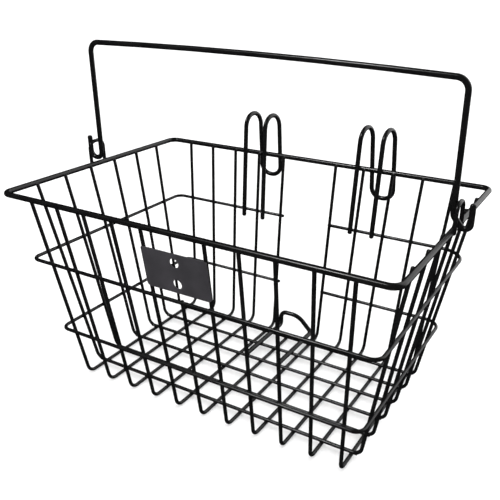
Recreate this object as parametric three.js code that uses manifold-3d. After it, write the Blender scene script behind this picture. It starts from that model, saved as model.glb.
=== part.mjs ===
// Handlebar basket: welded wire body, two handlebar hooks, a lamp plate and a swinging carry handle.
// Millimetres. +X runs along the basket, +Y points back to the handlebar, +Z is up.
// Z = 0 is the underside of the floor wires, and X = Y = 0 is the middle of the floor.
import * as THREE from 'three';
import Module from 'manifold-3d';
import { mergeVertices } from 'three/addons/utils/BufferGeometryUtils.js';

const wasm = await Module();
wasm.setup();

// Wire radii
const RIM_RADIUS = 2.35;
const WIRE_RADIUS = 1.55;
const HOOK_RADIUS = 2.25;
const EYE_RADIUS = 1.65;
const HANDLE_RADIUS = 2.3;

// Sections have flat sides, so that the floor wires carry a real flat face
const SECTION_SIDES = 8;
const BEND_STEPS = 4;
const WELD_GAP = 0.3;

// Basket body, measured to wire centre lines
const RIM_HALF_LENGTH = 173.5;
const RIM_HALF_DEPTH = 112.5;
const RIM_HEIGHT = 179.5;
const RIM_CORNER = 8;
const RING_CORNER = 8;
const RING_UPPER_HEIGHT = 119.5;
const RING_LOWER_HEIGHT = 49.3;
const FLOOR_HALF_LENGTH = 137.5;
const FLOOR_HALF_DEPTH = 83.4;
const FLOOR_BEND = 8;
const TIP_ABOVE_RIM = 0.6;

// Front-to-back wires, and side-to-side wires that lie on them. The lean says how far the tops
// of the back wall's wires stand sideways from those of the front wall.
const U_WIRES = 11;
const U_WIRE_MIDDLE = 6;
const U_PITCH_FLOOR = 26.1;
const U_PITCH_RIM = 28.9;
const BACK_TOP_LEAN = -1.5;
const SIDE_WIRES = 6;
const SIDE_PITCH_FLOOR = 25.3;
const SIDE_PITCH_RIM = 31.7;
const U_FLOOR_LEVEL = WIRE_RADIUS;
const SIDE_FLOOR_LEVEL = U_FLOOR_LEVEL + 2 * WIRE_RADIUS + WELD_GAP;

// Handlebar hooks: one bent wire each, with two legs. The shifts say how far the top front,
// top back and bottom bends stand sideways from the tips.
const HOOK_LEG_SPACING = 22.6;
const HOOK_TOP_HEIGHT = 215.8;
const HOOK_BACK_AT_TOP = 139.5;
const HOOK_BACK_AT_BOTTOM = 143.5;
const HOOK_TOP_BEND = 13.9;
const HOOK_BOTTOM_BEND = 10.5;
const HOOK_LEFT = { middle: -60.8, tipHeight: 112.5, bottomHeight: 148.5, shifts: [-5, -4.1, -4.1] };
const HOOK_RIGHT = { middle: 60.9, tipHeight: 116.3, bottomHeight: 142.8, shifts: [0.3, 1.4, 2.9] };

// Loop that bears on the head tube
const LOOP_LEFT = -14.5;
const LOOP_SHOULDER = 6;
const LOOP_RIGHT = 21;
const LOOP_START_DEPTH = 9.5;
const LOOP_BACK_DEPTH = 79;
const LOOP_TOP_HEIGHT = 22.5;
const LOOP_FOOT_BEND = 4;
const LOOP_TOP_BEND = 6.5;
const LOOP_SHOULDER_BEND = 18;

// Lamp plate
const PLATE_WIDTH = 60.5;
const PLATE_HEIGHT = 35;
const PLATE_THICKNESS = 1;
const PLATE_MIDDLE_HEIGHT = 144.5;
const PLATE_TOP_CORNER = 1.5;
const PLATE_BOTTOM_CORNER = 3;
const PLATE_HOLE_RADIUS = 4;
const PLATE_HOLE_SPACING = 18.4;
const HOLE_SIDES = 24;

// Eyes on the rim, and the handle that swings in them
const EYE_AT = 175.8;
const EYE_HALF_WIDTH = 8.6;
const EYE_TOP_HEIGHT = 200.7;
const EYE_BEND = 7;
const PIVOT_HEIGHT = 184.4;
const HANDLE_LEFT = { leg: -170, tip: -183.3, tipHeight: 204.8, corner: 291 };
const HANDLE_RIGHT = { leg: 171.6, tip: 184.9, tipHeight: 201, corner: 286 };
const HANDLE_BEND = 9;
const HANDLE_CROWN = 2.6;
const CROWN_STEPS = 6;
const CROWN_BEND = 170;

// The left crook is round. The right one is bent deeper, down the outer side of the rim.
const CROOK_BEND = 6.35;
const CROOK_SHOULDER_HEIGHT = 189.7;
const CROOK_SHOULDER_BEND = 6;
const CROOK_FOOT_AT = 178.8;
const CROOK_FOOT_HEIGHT = 181.2;
const CROOK_FOOT_BEND = 4;

const basket = new THREE.Group();
basket.name = 'handlebar_basket';

// Straight-line value between two ends
const between = (start, end, share) => start + (end - start) * share;

// Wall lines lean out from the floor to the rim
const wallShare = (height) => (height - U_FLOOR_LEVEL) / (RIM_HEIGHT - U_FLOOR_LEVEL);
const rimWallOffset = RIM_RADIUS + WIRE_RADIUS + WELD_GAP;
const ringWallOffset = 2 * WIRE_RADIUS + WELD_GAP;
const wallHalfLength = (height) =>
  between(FLOOR_HALF_LENGTH, RIM_HALF_LENGTH - rimWallOffset, wallShare(height));
const wallHalfDepth = (height) =>
  between(FLOOR_HALF_DEPTH, RIM_HALF_DEPTH - rimWallOffset, wallShare(height));
const wallLean = Math.atan2(
  wallHalfDepth(RIM_HEIGHT) - FLOOR_HALF_DEPTH,
  RIM_HEIGHT - U_FLOOR_LEVEL,
);

const point = (x, y, z) => new THREE.Vector3(x, y, z);

// Stations along a wire: straight runs need only their ends, bends get BEND_STEPS chords
function bendStations(before, corner, after, radius) {
  const incoming = corner.clone().sub(before).normalize();
  const outgoing = after.clone().sub(corner).normalize();
  const turn = incoming.angleTo(outgoing);
  const start = corner.clone().addScaledVector(incoming, -radius * Math.tan(turn / 2));
  const inward = outgoing.clone().addScaledVector(incoming, -incoming.dot(outgoing)).normalize();
  const centre = start.clone().addScaledVector(inward, radius);
  const steps = Math.max(1, Math.ceil(turn / (Math.PI / 2) * BEND_STEPS));
  const stations = [];
  for (let step = 0; step <= steps; step += 1) {
    const angle = (turn * step) / steps;
    const at = centre.clone()
      .addScaledVector(inward, -radius * Math.cos(angle))
      .addScaledVector(incoming, radius * Math.sin(angle));
    const along = incoming.clone().multiplyScalar(Math.cos(angle))
      .addScaledVector(inward, Math.sin(angle));
    stations.push({ at, along });
  }
  return stations;
}

function openWire(corners, radii) {
  const last = corners.length - 1;
  const first = { at: corners[0], along: corners[1].clone().sub(corners[0]).normalize() };
  const end = { at: corners[last], along: corners[last].clone().sub(corners[last - 1]).normalize() };
  const bends = corners.slice(1, last).flatMap((corner, index) =>
    bendStations(corners[index], corner, corners[index + 2], radii[index]));
  return [first, ...bends, end];
}

function closedWire(corners, radius) {
  const count = corners.length;
  return corners.flatMap((corner, index) =>
    bendStations(corners[(index + count - 1) % count], corner, corners[(index + 1) % count], radius));
}

// Sweep a flat-sided section along the stations; the first flat faces along `facing`
function sweep(stations, radius, facing, closed) {
  const positions = [];
  const indices = [];
  const cornerRadius = radius / Math.cos(Math.PI / SECTION_SIDES);
  const side = facing.clone();
  for (const { at, along } of stations) {
    side.addScaledVector(along, -side.dot(along)).normalize();
    const other = along.clone().cross(side);
    for (let corner = 0; corner < SECTION_SIDES; corner += 1) {
      const angle = ((corner + 0.5) / SECTION_SIDES) * 2 * Math.PI;
      const spot = at.clone()
        .addScaledVector(side, cornerRadius * Math.cos(angle))
        .addScaledVector(other, cornerRadius * Math.sin(angle));
      positions.push(spot.x, spot.y, spot.z);
    }
  }
  const rings = stations.length;
  const spans = closed ? rings : rings - 1;
  for (let ring = 0; ring < spans; ring += 1) {
    for (let corner = 0; corner < SECTION_SIDES; corner += 1) {
      const nextCorner = (corner + 1) % SECTION_SIDES;
      const a = ring * SECTION_SIDES + corner;
      const b = ring * SECTION_SIDES + nextCorner;
      const c = ((ring + 1) % rings) * SECTION_SIDES + corner;
      const d = ((ring + 1) % rings) * SECTION_SIDES + nextCorner;
      indices.push(a, b, d, a, d, c);
    }
  }
  if (!closed) {
    const far = (rings - 1) * SECTION_SIDES;
    for (let corner = 1; corner < SECTION_SIDES - 1; corner += 1) {
      indices.push(0, corner + 1, corner);
      indices.push(far, far + corner, far + corner + 1);
    }
  }
  const geometry = new THREE.BufferGeometry();
  geometry.setAttribute('position', new THREE.Float32BufferAttribute(positions, 3));
  geometry.setIndex(indices);
  geometry.computeVertexNormals();
  return geometry;
}

function addPart(name, geometry, slot, color) {
  const material = new THREE.MeshStandardMaterial({ color, metalness: 0.2, roughness: 0.45 });
  material.name = slot;
  const mesh = new THREE.Mesh(geometry, material);
  mesh.name = name;
  basket.add(mesh);
}

const WIRE_COLOR = 0x1c1c1e;
const PLATE_COLOR = 0x3a3a3c;
const addWire = (name, geometry) => addPart(name, geometry, 'black_wire', WIRE_COLOR);

// Thick wire all round the mouth
function rim() {
  const corners = [[-1, -1], [1, -1], [1, 1], [-1, 1]].map(([sideways, back]) =>
    point(sideways * RIM_HALF_LENGTH, back * RIM_HALF_DEPTH, RIM_HEIGHT));
  return sweep(closedWire(corners, RIM_CORNER), RIM_RADIUS, point(0, 0, 1), true);
}

// Sideways place of a front-to-back wire at some height
function uWireX(number, height, topLean) {
  const share = wallShare(height);
  return (number - U_WIRE_MIDDLE) * between(U_PITCH_FLOOR, U_PITCH_RIM, share) + topLean * share;
}

// Thin wire round the outside of the wall, cut away at the back where the head tube stands.
// Its back right corner is a wide bend that starts right past the last front-to-back wire.
function ring(height) {
  const halfLength = wallHalfLength(height) + ringWallOffset;
  const halfDepth = wallHalfDepth(height) + ringWallOffset;
  const leftEnd = uWireX(U_WIRE_MIDDLE - 1, height, BACK_TOP_LEAN) + WIRE_RADIUS;
  const rightEnd = uWireX(U_WIRE_MIDDLE + 1, height, BACK_TOP_LEAN) - WIRE_RADIUS;
  const wideBend = halfLength - uWireX(U_WIRES, height, BACK_TOP_LEAN) - WIRE_RADIUS;
  const corners = [
    point(leftEnd, halfDepth, height),
    point(-halfLength, halfDepth, height),
    point(-halfLength, -halfDepth, height),
    point(halfLength, -halfDepth, height),
    point(halfLength, halfDepth, height),
    point(rightEnd, halfDepth, height),
  ];
  const radii = [RING_CORNER, RING_CORNER, RING_CORNER, wideBend];
  return sweep(openWire(corners, radii), WIRE_RADIUS, point(0, 0, 1), false);
}

// Front-to-back wire: down the front wall, along the floor and up the back wall
function uWire(number) {
  const isMiddle = number === U_WIRE_MIDDLE;
  const topHeight = isMiddle ? RING_UPPER_HEIGHT + TIP_ABOVE_RIM : RIM_HEIGHT + TIP_ABOVE_RIM;
  const frontTopX = uWireX(number, topHeight, 0);
  const backTopX = uWireX(number, topHeight, BACK_TOP_LEAN);
  const floorX = (number - U_WIRE_MIDDLE) * U_PITCH_FLOOR;
  const frontTop = point(frontTopX, -wallHalfDepth(topHeight), topHeight);
  const frontFoot = point(floorX, -FLOOR_HALF_DEPTH, U_FLOOR_LEVEL);
  const backFoot = point(floorX, FLOOR_HALF_DEPTH, U_FLOOR_LEVEL);
  const backTop = point(backTopX, wallHalfDepth(topHeight), topHeight);
  const lastSideWire = SIDE_PITCH_FLOOR * (SIDE_WIRES - 1) / 2;
  const floorEnd = point(floorX, lastSideWire + 2 * WIRE_RADIUS, U_FLOOR_LEVEL);
  const corners = isMiddle
    ? [frontTop, frontFoot, floorEnd]
    : [frontTop, frontFoot, backFoot, backTop];
  const radii = isMiddle ? [FLOOR_BEND] : [FLOOR_BEND, FLOOR_BEND];
  return sweep(openWire(corners, radii), WIRE_RADIUS, point(1, 0, 0), false);
}

// Side-to-side wire: down one end, across the floor wires and up the other end
function sideWire(number) {
  const pitches = number - (SIDE_WIRES + 1) / 2;
  const topHeight = RIM_HEIGHT + TIP_ABOVE_RIM;
  const topY = pitches * between(SIDE_PITCH_FLOOR, SIDE_PITCH_RIM, wallShare(topHeight));
  const footY = pitches * SIDE_PITCH_FLOOR;
  const footX = wallHalfLength(SIDE_FLOOR_LEVEL);
  const topX = wallHalfLength(topHeight);
  const corners = [
    point(-topX, topY, topHeight),
    point(-footX, footY, SIDE_FLOOR_LEVEL),
    point(footX, footY, SIDE_FLOOR_LEVEL),
    point(topX, topY, topHeight),
  ];
  return sweep(openWire(corners, [FLOOR_BEND, FLOOR_BEND]), WIRE_RADIUS, point(0, 1, 0), false);
}

// One wire bent into a two-legged hook: up inside the rim, over the bar, down behind it
function hook({ middle, tipHeight, bottomHeight, shifts }) {
  const legDepth = (height) => wallHalfDepth(height) + WIRE_RADIUS - HOOK_RADIUS;
  const [topFrontShift, topBackShift, bottomShift] = shifts;
  const legCorners = (legX) => [
    point(legX, legDepth(tipHeight), tipHeight),
    point(legX + topFrontShift, legDepth(HOOK_TOP_HEIGHT), HOOK_TOP_HEIGHT),
    point(legX + topBackShift, HOOK_BACK_AT_TOP, HOOK_TOP_HEIGHT),
    point(legX + bottomShift, HOOK_BACK_AT_BOTTOM, bottomHeight),
  ];
  const corners = [
    ...legCorners(middle - HOOK_LEG_SPACING / 2),
    ...legCorners(middle + HOOK_LEG_SPACING / 2).reverse(),
  ];
  const radii = [
    HOOK_TOP_BEND, HOOK_TOP_BEND, HOOK_BOTTOM_BEND,
    HOOK_BOTTOM_BEND, HOOK_TOP_BEND, HOOK_TOP_BEND,
  ];
  return sweep(openWire(corners, radii), HOOK_RADIUS, point(1, 0, 0), false);
}

// Wire that lies on the rear side wires and stands up as a low loop with a sloping shoulder
function headTubeLoop() {
  const floorLevel = SIDE_FLOOR_LEVEL + WIRE_RADIUS + WELD_GAP + HOOK_RADIUS;
  const corners = [
    point(LOOP_LEFT, LOOP_START_DEPTH, floorLevel),
    point(LOOP_LEFT, LOOP_BACK_DEPTH, floorLevel),
    point(LOOP_LEFT, LOOP_BACK_DEPTH, LOOP_TOP_HEIGHT),
    point(LOOP_SHOULDER, LOOP_BACK_DEPTH, LOOP_TOP_HEIGHT),
    point(LOOP_RIGHT, LOOP_BACK_DEPTH, floorLevel),
    point(LOOP_RIGHT, LOOP_START_DEPTH, floorLevel),
  ];
  const radii = [LOOP_FOOT_BEND, LOOP_TOP_BEND, LOOP_SHOULDER_BEND, LOOP_FOOT_BEND];
  return sweep(openWire(corners, radii), HOOK_RADIUS, point(1, 0, 0), false);
}

function toSolid(geometry) {
  geometry.deleteAttribute('normal');
  geometry.deleteAttribute('uv');
  const merged = mergeVertices(geometry);
  const mesh = new wasm.Mesh({
    numProp: 3,
    vertProperties: new Float32Array(merged.attributes.position.array),
    triVerts: new Uint32Array(merged.index.array),
  });
  return new wasm.Manifold(mesh);
}

function toGeometry(solid) {
  const mesh = solid.getMesh();
  const geometry = new THREE.BufferGeometry();
  geometry.setAttribute('position', new THREE.BufferAttribute(mesh.vertProperties, 3));
  geometry.setIndex(new THREE.BufferAttribute(mesh.triVerts, 1));
  geometry.computeVertexNormals();
  return geometry;
}

// Plate outline in its own plane, with small corners above and larger ones below
function plateOutline() {
  const right = PLATE_WIDTH / 2;
  const top = PLATE_HEIGHT / 2;
  const shape = new THREE.Shape();
  shape.moveTo(-right, top - PLATE_TOP_CORNER);
  shape.lineTo(-right, PLATE_BOTTOM_CORNER - top);
  shape.absarc(PLATE_BOTTOM_CORNER - right, PLATE_BOTTOM_CORNER - top, PLATE_BOTTOM_CORNER,
    Math.PI, 1.5 * Math.PI, false);
  shape.absarc(right - PLATE_BOTTOM_CORNER, PLATE_BOTTOM_CORNER - top, PLATE_BOTTOM_CORNER,
    1.5 * Math.PI, 2 * Math.PI, false);
  shape.absarc(right - PLATE_TOP_CORNER, top - PLATE_TOP_CORNER, PLATE_TOP_CORNER,
    0, Math.PI / 2, false);
  shape.absarc(PLATE_TOP_CORNER - right, top - PLATE_TOP_CORNER, PLATE_TOP_CORNER,
    Math.PI / 2, Math.PI, false);
  return shape;
}

// Sheet-metal plate on the outside of two front wires, drilled for a lamp bracket
function frontPlate() {
  const sheet = new THREE.ExtrudeGeometry(plateOutline(), {
    depth: PLATE_THICKNESS,
    bevelEnabled: false,
    curveSegments: BEND_STEPS,
  });
  let solid = toSolid(sheet);
  for (const rise of [-PLATE_HOLE_SPACING / 2, PLATE_HOLE_SPACING / 2]) {
    const drill = new THREE.CylinderGeometry(
      PLATE_HOLE_RADIUS, PLATE_HOLE_RADIUS, 4 * PLATE_THICKNESS, HOLE_SIDES);
    drill.rotateX(Math.PI / 2);
    drill.translate(0, rise, PLATE_THICKNESS / 2);
    solid = solid.subtract(toSolid(drill));
  }
  const plate = toGeometry(solid);
  const outward = (WIRE_RADIUS + WELD_GAP) / Math.cos(wallLean);
  plate.rotateX(Math.PI / 2 + wallLean);
  plate.translate(0, -wallHalfDepth(PLATE_MIDDLE_HEIGHT) - outward, PLATE_MIDDLE_HEIGHT);
  return plate;
}

// Arched wire eye that stands on the outer side of the rim
function handleEye(sideways) {
  const x = sideways * EYE_AT;
  const foot = RIM_HEIGHT + RIM_RADIUS + WELD_GAP;
  const corners = [
    point(x, -EYE_HALF_WIDTH, foot),
    point(x, -EYE_HALF_WIDTH, EYE_TOP_HEIGHT),
    point(x, EYE_HALF_WIDTH, EYE_TOP_HEIGHT),
    point(x, EYE_HALF_WIDTH, foot),
  ];
  return sweep(openWire(corners, [EYE_BEND, EYE_BEND]), EYE_RADIUS, point(1, 0, 0), false);
}

// Carry handle: J-shaped ends hang in the eyes, and the grip is slightly crowned
function carryHandle() {
  const crown = [];
  for (let step = 1; step < CROWN_STEPS; step += 1) {
    const share = step / CROWN_STEPS;
    const chord = between(HANDLE_LEFT.corner, HANDLE_RIGHT.corner, share);
    const rise = 4 * HANDLE_CROWN * share * (1 - share);
    crown.push(point(between(HANDLE_LEFT.leg, HANDLE_RIGHT.leg, share), 0, chord + rise));
  }
  const corners = [
    point(HANDLE_LEFT.tip, 0, HANDLE_LEFT.tipHeight),
    point(HANDLE_LEFT.tip, 0, PIVOT_HEIGHT),
    point(HANDLE_LEFT.leg, 0, PIVOT_HEIGHT),
    point(HANDLE_LEFT.leg, 0, HANDLE_LEFT.corner),
    ...crown,
    point(HANDLE_RIGHT.leg, 0, HANDLE_RIGHT.corner),
    point(HANDLE_RIGHT.leg, 0, CROOK_SHOULDER_HEIGHT),
    point(CROOK_FOOT_AT, 0, CROOK_FOOT_HEIGHT),
    point(HANDLE_RIGHT.tip, 0, CROOK_FOOT_HEIGHT),
    point(HANDLE_RIGHT.tip, 0, HANDLE_RIGHT.tipHeight),
  ];
  const radii = [
    CROOK_BEND, CROOK_BEND, HANDLE_BEND, ...crown.map(() => CROWN_BEND), HANDLE_BEND,
    CROOK_SHOULDER_BEND, CROOK_FOOT_BEND, CROOK_FOOT_BEND,
  ];
  return sweep(openWire(corners, radii), HANDLE_RADIUS, point(0, 1, 0), false);
}

addWire('rim', rim());
addWire('ring_upper', ring(RING_UPPER_HEIGHT));
addWire('ring_lower', ring(RING_LOWER_HEIGHT));
for (let number = 1; number <= U_WIRES; number += 1) {
  addWire(`u_wire_${String(number).padStart(2, '0')}`, uWire(number));
}
for (let number = 1; number <= SIDE_WIRES; number += 1) {
  addWire(`side_wire_${number}`, sideWire(number));
}
addWire('hook_left', hook(HOOK_LEFT));
addWire('hook_right', hook(HOOK_RIGHT));
addWire('head_tube_loop', headTubeLoop());
addPart('front_plate', frontPlate(), 'black_plate', PLATE_COLOR);
addWire('eye_left', handleEye(-1));
addWire('eye_right', handleEye(1));
addWire('handle', carryHandle());

export default basket;
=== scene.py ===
"""Looks of the handlebar basket: round wires, weld fillets, a lamp plate, powder coat and a studio."""

import math

import bmesh
import bpy
import numpy as np
from mathutils import Matrix, Vector


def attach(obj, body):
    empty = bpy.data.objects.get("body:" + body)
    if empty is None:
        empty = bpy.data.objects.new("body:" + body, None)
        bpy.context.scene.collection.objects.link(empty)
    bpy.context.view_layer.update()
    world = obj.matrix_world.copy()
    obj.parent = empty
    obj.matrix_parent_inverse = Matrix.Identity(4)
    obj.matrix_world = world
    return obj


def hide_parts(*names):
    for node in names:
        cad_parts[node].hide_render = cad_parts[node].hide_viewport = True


MM = 0.001

# Wire radii, in millimetres like every size here
RIM_RADIUS = 2.35
WIRE_RADIUS = 1.55
HOOK_RADIUS = 2.25
EYE_RADIUS = 1.65
HANDLE_RADIUS = 2.3

# Welded wires sink a little into each other
WELD_GAP = -0.5

# Basket body, to wire centre lines
RIM_HALF_LENGTH = 173.5
RIM_HALF_DEPTH = 112.5
RIM_HEIGHT = 179.5
RIM_CORNER = 8
RING_CORNER = 8
RING_UPPER_HEIGHT = 119.5
RING_LOWER_HEIGHT = 49.3
FLOOR_HALF_LENGTH = 137.5
FLOOR_HALF_DEPTH = 83.4
FLOOR_BEND = 8
TIP_ABOVE_RIM = 0.6

# Wire grid; the lean says how far the tops of the back wall's wires stand sideways from those
# of the front wall
U_WIRES = 11
U_WIRE_MIDDLE = 6
U_PITCH_FLOOR = 26.1
U_PITCH_RIM = 28.9
BACK_TOP_LEAN = -1.5
SIDE_WIRES = 6
SIDE_PITCH_FLOOR = 25.3
SIDE_PITCH_RIM = 31.7
U_FLOOR_LEVEL = WIRE_RADIUS
SIDE_FLOOR_LEVEL = U_FLOOR_LEVEL + 2 * WIRE_RADIUS + WELD_GAP

# Handlebar hooks; the shifts say how far the top front, top back and bottom bends stand
# sideways from the tips
HOOK_LEG_SPACING = 22.6
HOOK_TOP_HEIGHT = 215.8
HOOK_BACK_AT_TOP = 139.5
HOOK_BACK_AT_BOTTOM = 143.5
HOOK_TOP_BEND = 13.9
HOOK_BOTTOM_BEND = 10.5
HOOKS = {
    "hook_left": {
        "middle": -60.8, "tip_height": 112.5, "bottom_height": 148.5, "shifts": (-5, -4.1, -4.1),
    },
    "hook_right": {
        "middle": 60.9, "tip_height": 116.3, "bottom_height": 142.8, "shifts": (0.3, 1.4, 2.9),
    },
}

# Head-tube loop
LOOP_LEFT = -14.5
LOOP_SHOULDER = 6
LOOP_RIGHT = 21
LOOP_START_DEPTH = 9.5
LOOP_BACK_DEPTH = 79
LOOP_TOP_HEIGHT = 22.5
LOOP_FOOT_BEND = 4
LOOP_TOP_BEND = 6.5
LOOP_SHOULDER_BEND = 18

# Lamp plate
PLATE_WIDTH = 60.5
PLATE_HEIGHT = 35
PLATE_THICKNESS = 1
PLATE_EDGE_ROUND = 0.3
PLATE_MIDDLE_HEIGHT = 144.5
PLATE_TOP_CORNER = 1.5
PLATE_BOTTOM_CORNER = 3
PLATE_HOLE_RADIUS = 4
PLATE_HOLE_SPACING = 18.4

# Eyes and handle
EYE_AT = 175.8
EYE_HALF_WIDTH = 8.6
EYE_TOP_HEIGHT = 200.7
EYE_BEND = 7
PIVOT_HEIGHT = 184.4
HANDLE_LEFT = {"leg": -170, "tip": -183.3, "tip_height": 204.8, "corner": 291}
HANDLE_RIGHT = {"leg": 171.6, "tip": 184.9, "tip_height": 201, "corner": 286}
HANDLE_BEND = 9
HANDLE_CROWN = 2.6
CROWN_STEPS = 6
CROWN_BEND = 170

# The left crook is round; the right one is bent deeper, down the outer side of the rim
CROOK_BEND = 6.35
CROOK_SHOULDER_HEIGHT = 189.7
CROOK_SHOULDER_BEND = 6
CROOK_FOOT_AT = 178.8
CROOK_FOOT_HEIGHT = 181.2
CROOK_FOOT_BEND = 4

# Mesh fineness
SECTION_SIDES = 24
BEND_STEPS = 14
END_STEPS = 6
PLATE_CORNER_STEPS = 8
PLATE_EDGE_STEPS = 3
HOLE_SIDES = 48
WELD_BALL_DIVISIONS = 4

# Cut wire ends are rounded by this share of the wire radius
END_ROUND = 0.8

# Weld fillets
CROSSING_FILLET = 1.2
FOOT_FILLET = 0.9
FOOT_WELD_RISE = 0.7
FILLET_REACH = 2
FILLET_UNDER = 0.03
MARCH_STEPS = 40
TINY = 1e-9

# Powder coat, with noise scales per metre and the height of the orange peel in metres
COAT_CLOUD_SCALE = 60
COAT_CLOUD_DETAIL = 5
COAT_DARK_BELOW = 0.35
COAT_LIGHT_ABOVE = 0.7
COAT_SMOOTHER = 0.05
COAT_ROUGHER = 0.07
COAT_PEEL_SCALE = 900
COAT_PEEL_DETAIL = 3
COAT_PEEL_STRENGTH = 0.25
COAT_PEEL_HEIGHT = 0.00008
COAT_SPECULAR = 0.5
WIRE_COAT = {"dark": (0.004, 0.004, 0.0042), "light": (0.007, 0.007, 0.0073), "roughness": 0.22}
PLATE_COAT = {"dark": (0.033, 0.031, 0.036), "light": (0.047, 0.044, 0.051), "roughness": 0.45}

# Studio floor, with its half size in metres and its noise scale per metre
GROUND_HALF_SIZE = 20
GROUND_CLOUD_SCALE = 3
GROUND_DARK = (0.95, 0.95, 0.95)
GROUND_LIGHT = (0.97, 0.97, 0.97)
GROUND_ROUGHNESS = 0.9
GROUND_SPECULAR = 0.1

# Studio surround, by the height of the direction looked in, and two suns that cast no shadow,
# with their spread in degrees
WALL_TOP = 0.15
CEILING_START = 0.6
WALL_BRIGHTNESS = 1.05
CEILING_BRIGHTNESS = 1
KEY_SUN = {"toward": (-0.37, -0.5, 0.78), "strength": 0.9, "spread": 5}
BACK_SUN = {"toward": (0.45, 0.8, 0.4), "strength": 1.5, "spread": 80}

# Camera, with its place in metres
CAMERA_AT = (0.2790, -0.4401, 0.3479)
CAMERA_AZIMUTH = math.radians(29.71)
CAMERA_ELEVATION = math.radians(23.84)
CAMERA_ROLL = math.radians(0.46)
CAMERA_LENS = 46.19
CAMERA_SHIFT = (-0.0591, 0.0151)

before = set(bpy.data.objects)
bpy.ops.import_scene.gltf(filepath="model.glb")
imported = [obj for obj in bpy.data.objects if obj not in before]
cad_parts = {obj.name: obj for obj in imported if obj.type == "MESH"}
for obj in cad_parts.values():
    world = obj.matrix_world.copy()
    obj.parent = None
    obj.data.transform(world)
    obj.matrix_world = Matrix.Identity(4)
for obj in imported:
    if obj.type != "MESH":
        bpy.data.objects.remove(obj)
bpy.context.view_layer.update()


def between(start, end, share):
    return start + (end - start) * share


def wall_share(height):
    return (height - U_FLOOR_LEVEL) / (RIM_HEIGHT - U_FLOOR_LEVEL)


RIM_WALL_OFFSET = RIM_RADIUS + WIRE_RADIUS + WELD_GAP
RING_WALL_OFFSET = 2 * WIRE_RADIUS + WELD_GAP


def wall_half_length(height):
    return between(FLOOR_HALF_LENGTH, RIM_HALF_LENGTH - RIM_WALL_OFFSET, wall_share(height))


def wall_half_depth(height):
    return between(FLOOR_HALF_DEPTH, RIM_HALF_DEPTH - RIM_WALL_OFFSET, wall_share(height))


WALL_LEAN = math.atan2(wall_half_depth(RIM_HEIGHT) - FLOOR_HALF_DEPTH, RIM_HEIGHT - U_FLOOR_LEVEL)


def bend_stations(before, corner, after, radius):
    """Points and directions round one bend of a wire."""
    incoming = (corner - before).normalized()
    outgoing = (after - corner).normalized()
    turn = incoming.angle(outgoing)
    start = corner - incoming * radius * math.tan(turn / 2)
    inward = (outgoing - incoming * incoming.dot(outgoing)).normalized()
    centre = start + inward * radius
    steps = max(1, math.ceil(turn / (math.pi / 2) * BEND_STEPS))
    stations = []
    for step in range(steps + 1):
        angle = turn * step / steps
        at = centre - inward * radius * math.cos(angle) + incoming * radius * math.sin(angle)
        along = incoming * math.cos(angle) + inward * math.sin(angle)
        stations.append((at, along, 1.0))
    return stations


def rounded_end(tip, along, radius):
    """Stations of a cut wire end with a softened edge, from the tip inwards."""
    stations = []
    for step in range(END_STEPS + 1):
        angle = step / END_STEPS * math.pi / 2
        share = 1 - END_ROUND + END_ROUND * math.sin(angle)
        inset = END_ROUND * radius * (1 - math.cos(angle))
        stations.append((tip + along * inset, along, share))
    return stations


def open_wire(corners, radii, wire_radius):
    stations = rounded_end(corners[0], (corners[1] - corners[0]).normalized(), wire_radius)
    for index, radius in enumerate(radii):
        stations += bend_stations(*corners[index:index + 3], radius)
    back = (corners[-2] - corners[-1]).normalized()
    for at, along, share in reversed(rounded_end(corners[-1], back, wire_radius)):
        stations.append((at, -along, share))
    return stations


def closed_wire(corners, radius):
    stations = []
    for index, corner in enumerate(corners):
        after = corners[(index + 1) % len(corners)]
        stations += bend_stations(corners[index - 1], corner, after, radius)
    return stations


def new_object(name, mesh, material, body):
    piece = bpy.data.objects.new(name, mesh)
    bpy.context.scene.collection.objects.link(piece)
    if material:
        mesh.materials.append(material)
    if body:
        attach(piece, body)
    return piece


def sweep(stations, radius, facing, closed=False):
    """Round tube mesh along the stations."""
    verts = []
    faces = []
    side = Vector(facing)
    for at, along, share in stations:
        side = (side - along * side.dot(along)).normalized()
        other = along.cross(side)
        for corner in range(SECTION_SIDES):
            angle = 2 * math.pi * corner / SECTION_SIDES
            offset = side * math.cos(angle) + other * math.sin(angle)
            verts.append((at + offset * radius * share) * MM)
    rings = len(stations)
    for ring in range(rings if closed else rings - 1):
        for corner in range(SECTION_SIDES):
            after = (corner + 1) % SECTION_SIDES
            here = ring * SECTION_SIDES
            there = (ring + 1) % rings * SECTION_SIDES
            faces.append((here + corner, here + after, there + after, there + corner))
    if not closed:
        faces.append(tuple(reversed(range(SECTION_SIDES))))
        faces.append(tuple((rings - 1) * SECTION_SIDES + corner for corner in range(SECTION_SIDES)))
    mesh = bpy.data.meshes.new("wire")
    mesh.from_pydata(verts, [], faces)
    mesh.shade_smooth()
    return mesh


def add_wire(name, node, stations, radius, facing, material, body, closed=False):
    piece = new_object(name, sweep(stations, radius, facing, closed), material, body)
    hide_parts(node)


# ---------------------------------------------------------------- routes

def rim_corners():
    signs = ((-1, -1), (1, -1), (1, 1), (-1, 1))
    return [Vector((sx * RIM_HALF_LENGTH, sy * RIM_HALF_DEPTH, RIM_HEIGHT)) for sx, sy in signs]


def u_wire_x(number, height, top_lean):
    share = wall_share(height)
    even = (number - U_WIRE_MIDDLE) * between(U_PITCH_FLOOR, U_PITCH_RIM, share)
    return even + top_lean * share


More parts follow.
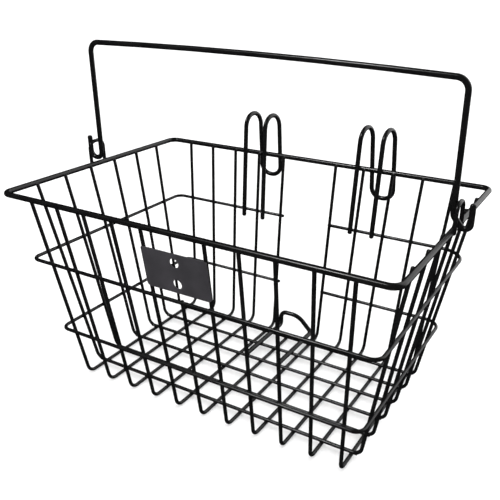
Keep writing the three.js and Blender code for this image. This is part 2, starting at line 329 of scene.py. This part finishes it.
def ring_corners(height):
    half_length = wall_half_length(height) + RING_WALL_OFFSET
    half_depth = wall_half_depth(height) + RING_WALL_OFFSET
    left_end = u_wire_x(U_WIRE_MIDDLE - 1, height, BACK_TOP_LEAN) + WIRE_RADIUS
    right_end = u_wire_x(U_WIRE_MIDDLE + 1, height, BACK_TOP_LEAN) - WIRE_RADIUS
    return [
        Vector((left_end, half_depth, height)),
        Vector((-half_length, half_depth, height)),
        Vector((-half_length, -half_depth, height)),
        Vector((half_length, -half_depth, height)),
        Vector((half_length, half_depth, height)),
        Vector((right_end, half_depth, height)),
    ]


def ring_bends(height):
    """The back right corner is a wide bend that starts right past the last front-to-back wire."""
    half_length = wall_half_length(height) + RING_WALL_OFFSET
    wide_bend = half_length - u_wire_x(U_WIRES, height, BACK_TOP_LEAN) - WIRE_RADIUS
    return [RING_CORNER, RING_CORNER, RING_CORNER, wide_bend]


def u_corners(number):
    is_middle = number == U_WIRE_MIDDLE
    top_height = (RING_UPPER_HEIGHT if is_middle else RIM_HEIGHT) + TIP_ABOVE_RIM
    front_top_x = u_wire_x(number, top_height, 0)
    back_top_x = u_wire_x(number, top_height, BACK_TOP_LEAN)
    floor_x = (number - U_WIRE_MIDDLE) * U_PITCH_FLOOR
    front_top = Vector((front_top_x, -wall_half_depth(top_height), top_height))
    front_foot = Vector((floor_x, -FLOOR_HALF_DEPTH, U_FLOOR_LEVEL))
    if is_middle:
        last_side_wire = SIDE_PITCH_FLOOR * (SIDE_WIRES - 1) / 2
        end = Vector((floor_x, last_side_wire + 2 * WIRE_RADIUS, U_FLOOR_LEVEL))
        return [front_top, front_foot, end]
    back_foot = Vector((floor_x, FLOOR_HALF_DEPTH, U_FLOOR_LEVEL))
    back_top = Vector((back_top_x, wall_half_depth(top_height), top_height))
    return [front_top, front_foot, back_foot, back_top]


def side_corners(number):
    pitches = number - (SIDE_WIRES + 1) / 2
    top_height = RIM_HEIGHT + TIP_ABOVE_RIM
    top_y = pitches * between(SIDE_PITCH_FLOOR, SIDE_PITCH_RIM, wall_share(top_height))
    foot_y = pitches * SIDE_PITCH_FLOOR
    foot_x = wall_half_length(SIDE_FLOOR_LEVEL)
    top_x = wall_half_length(top_height)
    return [
        Vector((-top_x, top_y, top_height)),
        Vector((-foot_x, foot_y, SIDE_FLOOR_LEVEL)),
        Vector((foot_x, foot_y, SIDE_FLOOR_LEVEL)),
        Vector((top_x, top_y, top_height)),
    ]


def hook_leg_depth(height):
    return wall_half_depth(height) + WIRE_RADIUS - HOOK_RADIUS


def hook_corners(middle, tip_height, bottom_height, shifts):
    top_front, top_back, bottom = shifts
    half = [
        (0, hook_leg_depth(tip_height), tip_height),
        (top_front, hook_leg_depth(HOOK_TOP_HEIGHT), HOOK_TOP_HEIGHT),
        (top_back, HOOK_BACK_AT_TOP, HOOK_TOP_HEIGHT),
        (bottom, HOOK_BACK_AT_BOTTOM, bottom_height),
    ]
    first_x = middle - HOOK_LEG_SPACING / 2
    last_x = middle + HOOK_LEG_SPACING / 2
    first = [Vector((first_x + shift, depth, height)) for shift, depth, height in half]
    last = [Vector((last_x + shift, depth, height)) for shift, depth, height in reversed(half)]
    return first + last


def loop_corners():
    floor_level = SIDE_FLOOR_LEVEL + WIRE_RADIUS + WELD_GAP + HOOK_RADIUS
    return [
        Vector((LOOP_LEFT, LOOP_START_DEPTH, floor_level)),
        Vector((LOOP_LEFT, LOOP_BACK_DEPTH, floor_level)),
        Vector((LOOP_LEFT, LOOP_BACK_DEPTH, LOOP_TOP_HEIGHT)),
        Vector((LOOP_SHOULDER, LOOP_BACK_DEPTH, LOOP_TOP_HEIGHT)),
        Vector((LOOP_RIGHT, LOOP_BACK_DEPTH, floor_level)),
        Vector((LOOP_RIGHT, LOOP_START_DEPTH, floor_level)),
    ]


def eye_corners(sideways):
    x = sideways * EYE_AT
    foot = RIM_HEIGHT + RIM_RADIUS + WELD_GAP
    return [
        Vector((x, -EYE_HALF_WIDTH, foot)),
        Vector((x, -EYE_HALF_WIDTH, EYE_TOP_HEIGHT)),
        Vector((x, EYE_HALF_WIDTH, EYE_TOP_HEIGHT)),
        Vector((x, EYE_HALF_WIDTH, foot)),
    ]


def handle_corners():
    """From tip to tip. The grip follows a parabola that is highest halfway along."""
    left = HANDLE_LEFT
    right = HANDLE_RIGHT
    spots = [
        (left["tip"], left["tip_height"]),
        (left["tip"], PIVOT_HEIGHT),
        (left["leg"], PIVOT_HEIGHT),
        (left["leg"], left["corner"]),
    ]
    for step in range(1, CROWN_STEPS):
        share = step / CROWN_STEPS
        chord = between(left["corner"], right["corner"], share)
        rise = 4 * HANDLE_CROWN * share * (1 - share)
        spots.append((between(left["leg"], right["leg"], share), chord + rise))
    spots += [
        (right["leg"], right["corner"]),
        (right["leg"], CROOK_SHOULDER_HEIGHT),
        (CROOK_FOOT_AT, CROOK_FOOT_HEIGHT),
        (right["tip"], CROOK_FOOT_HEIGHT),
        (right["tip"], right["tip_height"]),
    ]
    return [Vector((x, 0, z)) for x, z in spots]


def handle_bends():
    crown = [CROWN_BEND] * (CROWN_STEPS - 1)
    left = [CROOK_BEND, CROOK_BEND, HANDLE_BEND]
    right = [HANDLE_BEND, CROOK_SHOULDER_BEND, CROOK_FOOT_BEND, CROOK_FOOT_BEND]
    return left + crown + right


# ---------------------------------------------------------------- materials

def node_material(name):
    material = bpy.data.materials.new(name)
    material.use_nodes = True
    tree = material.node_tree
    return material, tree.nodes, tree.links, tree.nodes["Principled BSDF"]


def powder_coat(name, dark, light, roughness):
    """Black powder coat: fine orange peel, cloudy tone and slightly uneven gloss."""
    material, nodes, links, shader = node_material(name)
    place = nodes.new("ShaderNodeTexCoord")
    cloud = nodes.new("ShaderNodeTexNoise")
    cloud.inputs["Scale"].default_value = COAT_CLOUD_SCALE
    cloud.inputs["Detail"].default_value = COAT_CLOUD_DETAIL
    tone = nodes.new("ShaderNodeValToRGB")
    tone.color_ramp.elements[0].position = COAT_DARK_BELOW
    tone.color_ramp.elements[0].color = (*dark, 1)
    tone.color_ramp.elements[1].position = COAT_LIGHT_ABOVE
    tone.color_ramp.elements[1].color = (*light, 1)
    gloss = nodes.new("ShaderNodeMapRange")
    gloss.inputs["To Min"].default_value = roughness - COAT_SMOOTHER
    gloss.inputs["To Max"].default_value = roughness + COAT_ROUGHER
    peel = nodes.new("ShaderNodeTexNoise")
    peel.inputs["Scale"].default_value = COAT_PEEL_SCALE
    peel.inputs["Detail"].default_value = COAT_PEEL_DETAIL
    bump = nodes.new("ShaderNodeBump")
    bump.inputs["Strength"].default_value = COAT_PEEL_STRENGTH
    bump.inputs["Distance"].default_value = COAT_PEEL_HEIGHT
    links.new(place.outputs["Object"], cloud.inputs["Vector"])
    links.new(place.outputs["Object"], peel.inputs["Vector"])
    links.new(cloud.outputs["Fac"], tone.inputs["Fac"])
    links.new(tone.outputs["Color"], shader.inputs["Base Color"])
    links.new(cloud.outputs["Fac"], gloss.inputs["Value"])
    links.new(gloss.outputs["Result"], shader.inputs["Roughness"])
    links.new(peel.outputs["Fac"], bump.inputs["Height"])
    links.new(bump.outputs["Normal"], shader.inputs["Normal"])
    shader.inputs["Specular IOR Level"].default_value = COAT_SPECULAR
    return material


def floor_material():
    material, nodes, links, shader = node_material("pale_floor")
    place = nodes.new("ShaderNodeTexCoord")
    cloud = nodes.new("ShaderNodeTexNoise")
    cloud.inputs["Scale"].default_value = GROUND_CLOUD_SCALE
    tone = nodes.new("ShaderNodeValToRGB")
    tone.color_ramp.elements[0].color = (*GROUND_DARK, 1)
    tone.color_ramp.elements[1].color = (*GROUND_LIGHT, 1)
    links.new(place.outputs["Object"], cloud.inputs["Vector"])
    links.new(cloud.outputs["Fac"], tone.inputs["Fac"])
    links.new(tone.outputs["Color"], shader.inputs["Base Color"])
    shader.inputs["Roughness"].default_value = GROUND_ROUGHNESS
    shader.inputs["Specular IOR Level"].default_value = GROUND_SPECULAR
    return material


# ---------------------------------------------------------------- welds

def closest_on_lines(wire_a, wire_b):
    """Closest points of two straight wires, taken as endless lines."""
    (a0, a1), (b0, b1) = wire_a, wire_b
    da = (a1 - a0).normalized()
    db = (b1 - b0).normalized()
    gap = a0 - b0
    dot = da.dot(db)
    span = 1 - dot * dot
    along_a = (dot * db.dot(gap) - da.dot(gap)) / span
    along_b = (db.dot(gap) - dot * da.dot(gap)) / span
    return a0 + da * along_a, b0 + db * along_b


def distance_to_wire(points, segment, radius):
    start = np.array(segment[0])
    line = np.array(segment[1]) - start
    share = np.clip((points - start) @ line / (line @ line), 0, 1)
    nearest = start + share[..., None] * line
    return np.linalg.norm(points - nearest, axis=-1) - radius


def weld_directions():
    ball = bmesh.new()
    bmesh.ops.create_icosphere(ball, subdivisions=WELD_BALL_DIVISIONS, radius=1)
    directions = np.array([vert.co[:] for vert in ball.verts])
    faces = [[vert.index for vert in face.verts] for face in ball.faces]
    ball.free()
    return directions, faces


DIRECTIONS, BALL_FACES = weld_directions()


def fillet(centre, wire_a, radius_a, wire_b, radius_b, size):
    """Skin of a weld: where each ray from its centre leaves the blended shape of the two wires."""
    reach = FILLET_REACH + radius_a + radius_b
    steps = np.linspace(0, reach, MARCH_STEPS)
    points = centre + DIRECTIONS[:, None, :] * steps[None, :, None]
    to_a = distance_to_wire(points, wire_a, radius_a)
    to_b = distance_to_wire(points, wire_b, radius_b)
    overlap = np.clip(size - np.abs(to_a - to_b), 0, None)
    field = np.minimum(to_a, to_b) - overlap ** 2 / (4 * size) + FILLET_UNDER
    outside = field > 0
    first = np.clip(np.argmax(outside, axis=1), 1, None)
    rows = np.arange(len(DIRECTIONS))
    before = field[rows, first - 1]
    after = field[rows, first]
    share = np.clip(before / (before - after + TINY), 0, 1)
    distance = steps[first - 1] + (steps[first] - steps[first - 1]) * share
    distance[~outside.any(axis=1)] = reach
    return centre + DIRECTIONS * distance[:, None]


def weld(wire_a, radius_a, wire_b, radius_b):
    """Fillet where two wires cross."""
    near_a, near_b = closest_on_lines(wire_a, wire_b)
    centre = np.array(near_a.lerp(near_b, radius_a / (radius_a + radius_b)))
    return fillet(centre, wire_a, radius_a, wire_b, radius_b, CROSSING_FILLET)


def foot_weld(foot, top, band):
    """Fillet round the foot of an eye, which stands end-on on the rim."""
    inside_rim = Vector((foot.x, foot.y, RIM_HEIGHT))
    centre = np.array(inside_rim.lerp(foot, FOOT_WELD_RISE))
    return fillet(centre, (inside_rim, top), EYE_RADIUS, band, RIM_RADIUS, FOOT_FILLET)


def add_welds(name, welds, material):
    verts = []
    faces = []
    for spots in welds:
        start = len(verts)
        verts += [tuple(spot * MM) for spot in spots]
        faces += [tuple(start + index for index in face) for face in BALL_FACES]
    mesh = bpy.data.meshes.new(name)
    mesh.from_pydata(verts, [], faces)
    mesh.shade_smooth()
    piece = new_object(name, mesh, material, "basket")


def wall_spans(up_to_rim):
    """Wall and foot-to-tip stretch of each grid wire that crosses a ring, or that reaches the rim."""
    spans = []
    for number in range(1, U_WIRES + 1):
        corners = u_corners(number)
        is_middle = number == U_WIRE_MIDDLE
        if not (is_middle and up_to_rim):
            spans.append(("front", (corners[1], corners[0])))
        if not is_middle:
            wall = "back left" if number < U_WIRE_MIDDLE else "back right"
            spans.append((wall, (corners[2], corners[3])))
    for number in range(1, SIDE_WIRES + 1):
        corners = side_corners(number)
        spans.append(("left", (corners[1], corners[0])))
        spans.append(("right", (corners[2], corners[3])))
    return spans


def shortened(segment, radius):
    """The same wire stretch, ending where a round end of that radius would touch its tip."""
    foot, tip = segment
    return foot, tip - (tip - foot).normalized() * radius


def rim_sides():
    """Straight sides of the rim by wall; both halves of the back wall have the same one."""
    corners = rim_corners()
    back = (corners[2], corners[3])
    return {
        "front": (corners[0], corners[1]),
        "right": (corners[1], corners[2]),
        "back left": back,
        "back right": back,
        "left": (corners[3], corners[0]),
    }


def ring_sides(height):
    corners = ring_corners(height)
    walls = ("back left", "left", "front", "right", "back right")
    return dict(zip(walls, zip(corners, corners[1:])))


def wall_welds(spans, sides, band_radius):
    welds = []
    for wall, segment in spans:
        welds.append(weld(shortened(segment, WIRE_RADIUS), WIRE_RADIUS, sides[wall], band_radius))
    return welds


def floor_welds():
    welds = []
    for u_number in range(1, U_WIRES + 1):
        corners = u_corners(u_number)
        along = (corners[1], corners[2])
        for side_number in range(1, SIDE_WIRES + 1):
            across = side_corners(side_number)[1:3]
            welds.append(weld(along, WIRE_RADIUS, tuple(across), WIRE_RADIUS))
    return welds


def hook_welds():
    welds = []
    for hook in HOOKS.values():
        corners = hook_corners(**hook)
        wall = "back left" if hook["middle"] < 0 else "back right"
        rim = rim_sides()[wall]
        ring = ring_sides(RING_UPPER_HEIGHT)[wall]
        for leg in ((corners[1], corners[0]), (corners[6], corners[7])):
            welds.append(weld(leg, HOOK_RADIUS, rim, RIM_RADIUS))
            welds.append(weld(shortened(leg, HOOK_RADIUS), HOOK_RADIUS, ring, WIRE_RADIUS))
    return welds


def loop_welds():
    welds = []
    corners = loop_corners()
    for side_number in range(SIDE_WIRES // 2 + 1, SIDE_WIRES + 1):
        across = tuple(side_corners(side_number)[1:3])
        for leg in ((corners[1], corners[0]), (corners[4], corners[5])):
            welds.append(weld(shortened(leg, HOOK_RADIUS), HOOK_RADIUS, across, WIRE_RADIUS))
    return welds


def eye_welds():
    welds = []
    for sideways in (-1, 1):
        corners = eye_corners(sideways)
        x = sideways * RIM_HALF_LENGTH
        rim_side = (Vector((x, -RIM_HALF_DEPTH, RIM_HEIGHT)), Vector((x, RIM_HALF_DEPTH, RIM_HEIGHT)))
        for foot, top in ((corners[0], corners[1]), (corners[3], corners[2])):
            welds.append(foot_weld(foot, top, rim_side))
    return welds


# ---------------------------------------------------------------- plate

def arc_points(centre_x, centre_y, radius, start, end, count=PLATE_CORNER_STEPS):
    points = []
    for step in range(count + 1):
        angle = between(start, end, step / count)
        points.append((centre_x + radius * math.cos(angle), centre_y + radius * math.sin(angle)))
    return points


def plate_outline():
    inset = PLATE_EDGE_ROUND
    right = PLATE_WIDTH / 2 - inset
    top = PLATE_HEIGHT / 2 - inset
    low = PLATE_BOTTOM_CORNER
    high = PLATE_TOP_CORNER
    quarter = math.pi / 2
    points = arc_points(low - right, low - top, low, 2 * quarter, 3 * quarter)
    points += arc_points(right - low, low - top, low, 3 * quarter, 4 * quarter)
    points += arc_points(right - high, top - high, high, 0, quarter)
    points += arc_points(high - right, top - high, high, quarter, 2 * quarter)
    return points


def plate_mesh():
    flat = bpy.data.curves.new("plate_flat", "CURVE")
    flat.dimensions = "2D"
    flat.fill_mode = "BOTH"
    flat.extrude = PLATE_THICKNESS / 2 - PLATE_EDGE_ROUND
    flat.bevel_depth = PLATE_EDGE_ROUND
    flat.bevel_resolution = PLATE_EDGE_STEPS
    rings = [plate_outline()]
    for rise in (-PLATE_HOLE_SPACING / 2, PLATE_HOLE_SPACING / 2):
        hole = PLATE_HOLE_RADIUS + PLATE_EDGE_ROUND
        rings.append(arc_points(0, rise, hole, 0, 2 * math.pi, HOLE_SIDES)[:-1])
    for ring in rings:
        spline = flat.splines.new("POLY")
        spline.points.add(len(ring) - 1)
        for point, (x, y) in zip(spline.points, ring):
            point.co = (x, y, 0, 1)
        spline.use_cyclic_u = True
    shape = bpy.data.objects.new("plate_flat", flat)
    bpy.context.scene.collection.objects.link(shape)
    bpy.context.view_layer.update()
    evaluated = shape.evaluated_get(bpy.context.evaluated_depsgraph_get())
    mesh = bpy.data.meshes.new_from_object(evaluated)
    bpy.data.objects.remove(shape)
    return mesh


def add_plate(material):
    mesh = plate_mesh()
    outward = (WIRE_RADIUS + WELD_GAP) / math.cos(WALL_LEAN) + PLATE_THICKNESS / 2
    depth = wall_half_depth(PLATE_MIDDLE_HEIGHT) + outward
    place = Matrix.Translation((0, -depth, PLATE_MIDDLE_HEIGHT))
    turn = Matrix.Rotation(math.pi / 2 + WALL_LEAN, 4, "X")
    mesh.transform(Matrix.Scale(MM, 4) @ place @ turn)
    piece = new_object("front_plate_pressed", mesh, material, "basket")
    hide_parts("front_plate")


# ---------------------------------------------------------------- object

coat = powder_coat("black_powder_coat", **WIRE_COAT)
plate_coat = powder_coat("plate_powder_coat", **PLATE_COAT)

RINGS = {"ring_upper": RING_UPPER_HEIGHT, "ring_lower": RING_LOWER_HEIGHT}
UP = (0, 0, 1)
SIDEWAYS = (1, 0, 0)
BACK = (0, 1, 0)

route = closed_wire(rim_corners(), RIM_CORNER)
add_wire("rim_wire", "rim", route, RIM_RADIUS, UP, coat, "basket", closed=True)
for ring_name, ring_height in RINGS.items():
    route = open_wire(ring_corners(ring_height), ring_bends(ring_height), WIRE_RADIUS)
    add_wire(ring_name + "_wire", ring_name, route, WIRE_RADIUS, UP, coat, "basket")
for u_number in range(1, U_WIRES + 1):
    u_route = u_corners(u_number)
    route = open_wire(u_route, [FLOOR_BEND] * (len(u_route) - 2), WIRE_RADIUS)
    node = f"u_wire_{u_number:02d}"
    add_wire("round_" + node, node, route, WIRE_RADIUS, SIDEWAYS, coat, "basket")
for side_number in range(1, SIDE_WIRES + 1):
    route = open_wire(side_corners(side_number), [FLOOR_BEND] * 2, WIRE_RADIUS)
    node = f"side_wire_{side_number}"
    add_wire("round_" + node, node, route, WIRE_RADIUS, BACK, coat, "basket")
for hook_name, hook in HOOKS.items():
    bends = [HOOK_TOP_BEND, HOOK_TOP_BEND, HOOK_BOTTOM_BEND]
    route = open_wire(hook_corners(**hook), bends + bends[::-1], HOOK_RADIUS)
    add_wire(hook_name + "_wire", hook_name, route, HOOK_RADIUS, SIDEWAYS, coat, "basket")
loop_bends = [LOOP_FOOT_BEND, LOOP_TOP_BEND, LOOP_SHOULDER_BEND, LOOP_FOOT_BEND]
route = open_wire(loop_corners(), loop_bends, HOOK_RADIUS)
add_wire("head_tube_loop_wire", "head_tube_loop", route, HOOK_RADIUS, SIDEWAYS, coat, "basket")
for eye_name, sideways in (("eye_left", -1), ("eye_right", 1)):
    route = open_wire(eye_corners(sideways), [EYE_BEND] * 2, EYE_RADIUS)
    add_wire(eye_name + "_wire", eye_name, route, EYE_RADIUS, SIDEWAYS, coat, "basket")
route = open_wire(handle_corners(), handle_bends(), HANDLE_RADIUS)
add_wire("handle_wire", "handle", route, HANDLE_RADIUS, BACK, coat, "carry_handle")

add_plate(plate_coat)

add_welds("floor_welds", floor_welds(), coat)
add_welds("rim_welds", wall_welds(wall_spans(up_to_rim=True), rim_sides(), RIM_RADIUS), coat)
for ring_name, ring_height in RINGS.items():
    ring_welds = wall_welds(wall_spans(up_to_rim=False), ring_sides(ring_height), WIRE_RADIUS)
    add_welds(ring_name + "_welds", ring_welds, coat)
add_welds("hook_welds", hook_welds(), coat)
add_welds("loop_welds", loop_welds(), coat)
add_welds("eye_welds", eye_welds(), coat)


# ---------------------------------------------------------------- studio

def add_sun(name, toward, strength, spread):
    light = bpy.data.lights.new(name, "SUN")
    light.energy = strength
    light.angle = math.radians(spread)
    light.use_shadow = False
    lamp = bpy.data.objects.new(name, light)
    lamp.rotation_euler = Vector(toward).to_track_quat("Z", "Y").to_euler()
    bpy.context.scene.collection.objects.link(lamp)


def add_floor():
    mesh = bpy.data.meshes.new("floor")
    ground = bmesh.new()
    bmesh.ops.create_grid(ground, x_segments=2, y_segments=2, size=GROUND_HALF_SIZE)
    ground.to_mesh(mesh)
    ground.free()
    floor = new_object("floor", mesh, floor_material(), None)
    floor.visible_glossy = False


def add_world():
    """White surround, slightly dimmer overhead, that does not show in reflections."""
    world = bpy.data.worlds.new("studio")
    world.use_nodes = True
    nodes = world.node_tree.nodes
    links = world.node_tree.links
    place = nodes.new("ShaderNodeTexCoord")
    split = nodes.new("ShaderNodeSeparateXYZ")
    height = nodes.new("ShaderNodeMapRange")
    height.inputs["From Min"].default_value = WALL_TOP
    height.inputs["From Max"].default_value = CEILING_START
    height.inputs["To Min"].default_value = WALL_BRIGHTNESS
    height.inputs["To Max"].default_value = CEILING_BRIGHTNESS
    links.new(place.outputs["Generated"], split.inputs["Vector"])
    links.new(split.outputs["Z"], height.inputs["Value"])
    links.new(height.outputs["Result"], nodes["Background"].inputs["Strength"])
    nodes["Background"].inputs["Color"].default_value = (1, 1, 1, 1)
    world.cycles_visibility.glossy = False
    bpy.context.scene.world = world


def add_camera():
    data = bpy.data.cameras.new("camera")
    data.lens = CAMERA_LENS
    data.shift_x, data.shift_y = CAMERA_SHIFT
    camera = bpy.data.objects.new("camera", data)
    aim = Vector((
        -math.sin(CAMERA_AZIMUTH) * math.cos(CAMERA_ELEVATION),
        math.cos(CAMERA_AZIMUTH) * math.cos(CAMERA_ELEVATION),
        -math.sin(CAMERA_ELEVATION),
    ))
    turn = aim.to_track_quat("-Z", "Y").to_matrix().to_4x4()
    camera.matrix_world = Matrix.Translation(CAMERA_AT) @ turn @ Matrix.Rotation(CAMERA_ROLL, 4, "Z")
    bpy.context.scene.collection.objects.link(camera)
    bpy.context.scene.camera = camera


add_floor()
add_world()
add_sun("key", **KEY_SUN)
add_sun("back", **BACK_SUN)
add_camera()
bpy.context.scene.view_settings.view_transform = "Standard"
